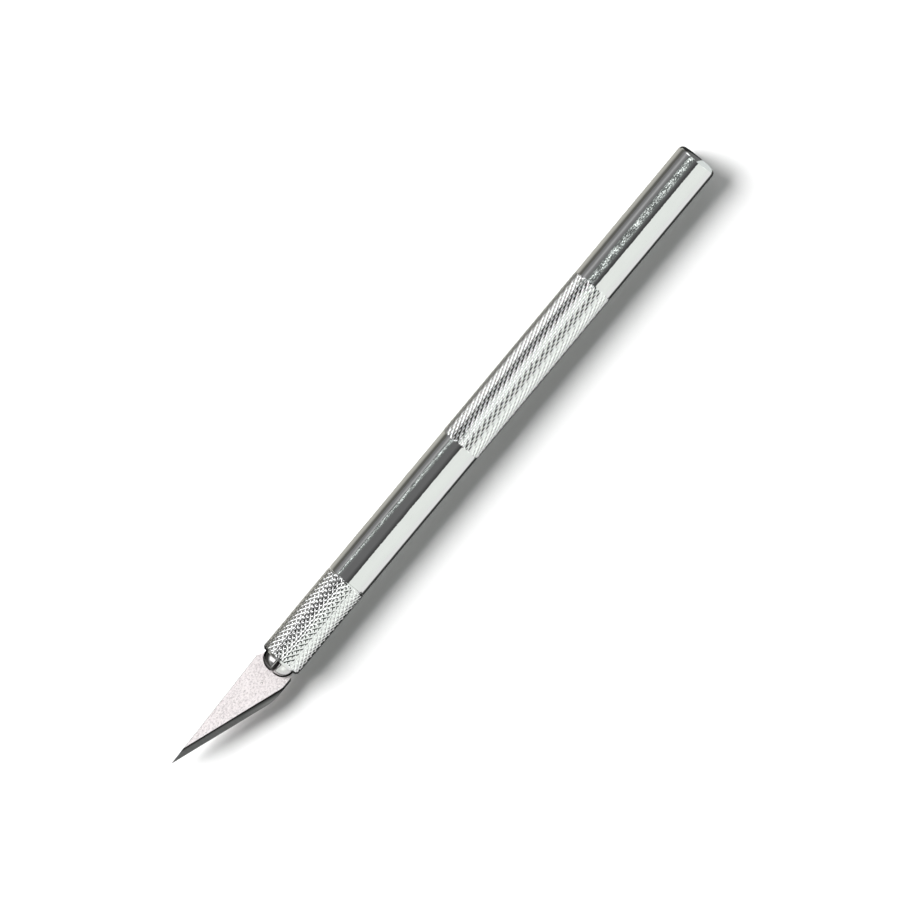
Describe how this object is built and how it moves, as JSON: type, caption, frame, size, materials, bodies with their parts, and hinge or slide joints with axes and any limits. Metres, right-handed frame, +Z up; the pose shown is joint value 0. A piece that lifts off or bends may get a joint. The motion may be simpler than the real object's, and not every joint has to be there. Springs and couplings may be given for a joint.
{
  "type": "hobby craft knife",
  "caption": "Slim round metal craft knife with a knurled grip band; a knurled sleeve draws in a split collet that holds a pointed straight-edged blade.",
  "frame": {"origin": "on the table the knife lies on, under the middle of its length", "axes": "+X along the handle towards the blade's tip, +Y towards the cutting edge, +Z up"},
  "size_m": [0.1456, 0.0082, 0.0082],
  "materials": {
    "handle_metal": "polished",
    "sleeve_metal": "bright knurled",
    "collet_steel": "turned, bright",
    "blade_steel": "ground, satin"
  },
  "bodies": {
    "handle": {"barrel": "handle_metal"},
    "clamp_sleeve": {"sleeve": "sleeve_metal"},
    "collet": {"collet_stem": "collet_steel"},
    "knife_blade": {"blade": "blade_steel"},
    "jaw_upper_edge_side": {"collet_jaw_upper_edge_side": "collet_steel"},
    "jaw_upper_spine_side": {"collet_jaw_upper_spine_side": "collet_steel"},
    "jaw_lower_spine_side": {"collet_jaw_lower_spine_side": "collet_steel"},
    "jaw_lower_edge_side": {"collet_jaw_lower_edge_side": "collet_steel"}
  },
  "joints": [
    {"name": "sleeve_turn", "type": "hinge", "parent": "handle", "child": "clamp_sleeve", "pos_m": [0.02695, 0, 0.00407], "axis": [1, 0, 0], "range_deg": [0, 721]},
    {"name": "collet_feed", "type": "slide", "parent": "clamp_sleeve", "child": "collet", "axis": [1, 0, 0], "range_m": [0, 0.0016]},
    {"name": "blade_draw", "type": "slide", "parent": "collet", "child": "knife_blade", "axis": [1, 0, 0], "range_m": [0, 0.018]},
    {"name": "jaw_upper_edge_side_spring", "type": "hinge", "parent": "collet", "child": "jaw_upper_edge_side", "pos_m": [0.0325, 0.00113, 0.00521], "axis": [0, -0.7071, 0.7071], "range_deg": [0, 0.714]},
    {"name": "jaw_upper_spine_side_spring", "type": "hinge", "parent": "collet", "child": "jaw_upper_spine_side", "pos_m": [0.0325, -0.00113, 0.00521], "axis": [0, -0.7071, -0.7071], "range_deg": [0, 0.714]},
    {"name": "jaw_lower_spine_side_spring", "type": "hinge", "parent": "collet", "child": "jaw_lower_spine_side", "pos_m": [0.0325, -0.00113, 0.00294], "axis": [0, 0.7071, -0.7071], "range_deg": [0, 0.714]},
    {"name": "jaw_lower_edge_side_spring", "type": "hinge", "parent": "collet", "child": "jaw_lower_edge_side", "pos_m": [0.0325, 0.00113, 0.00294], "axis": [0, 0.7071, 0.7071], "range_deg": [0, 0.714]}
  ],
  "couplings": [
    {"joint": "sleeve_turn", "follows": "collet_feed", "rad_per_m": 7854},
    {"joint": "jaw_upper_edge_side_spring", "follows": "collet_feed", "rad_per_m": 7.6358},
    {"joint": "jaw_upper_spine_side_spring", "follows": "collet_feed", "rad_per_m": 7.6358},
    {"joint": "jaw_lower_spine_side_spring", "follows": "collet_feed", "rad_per_m": 7.6358},
    {"joint": "jaw_lower_edge_side_spring", "follows": "collet_feed", "rad_per_m": 7.6358}
  ]
}
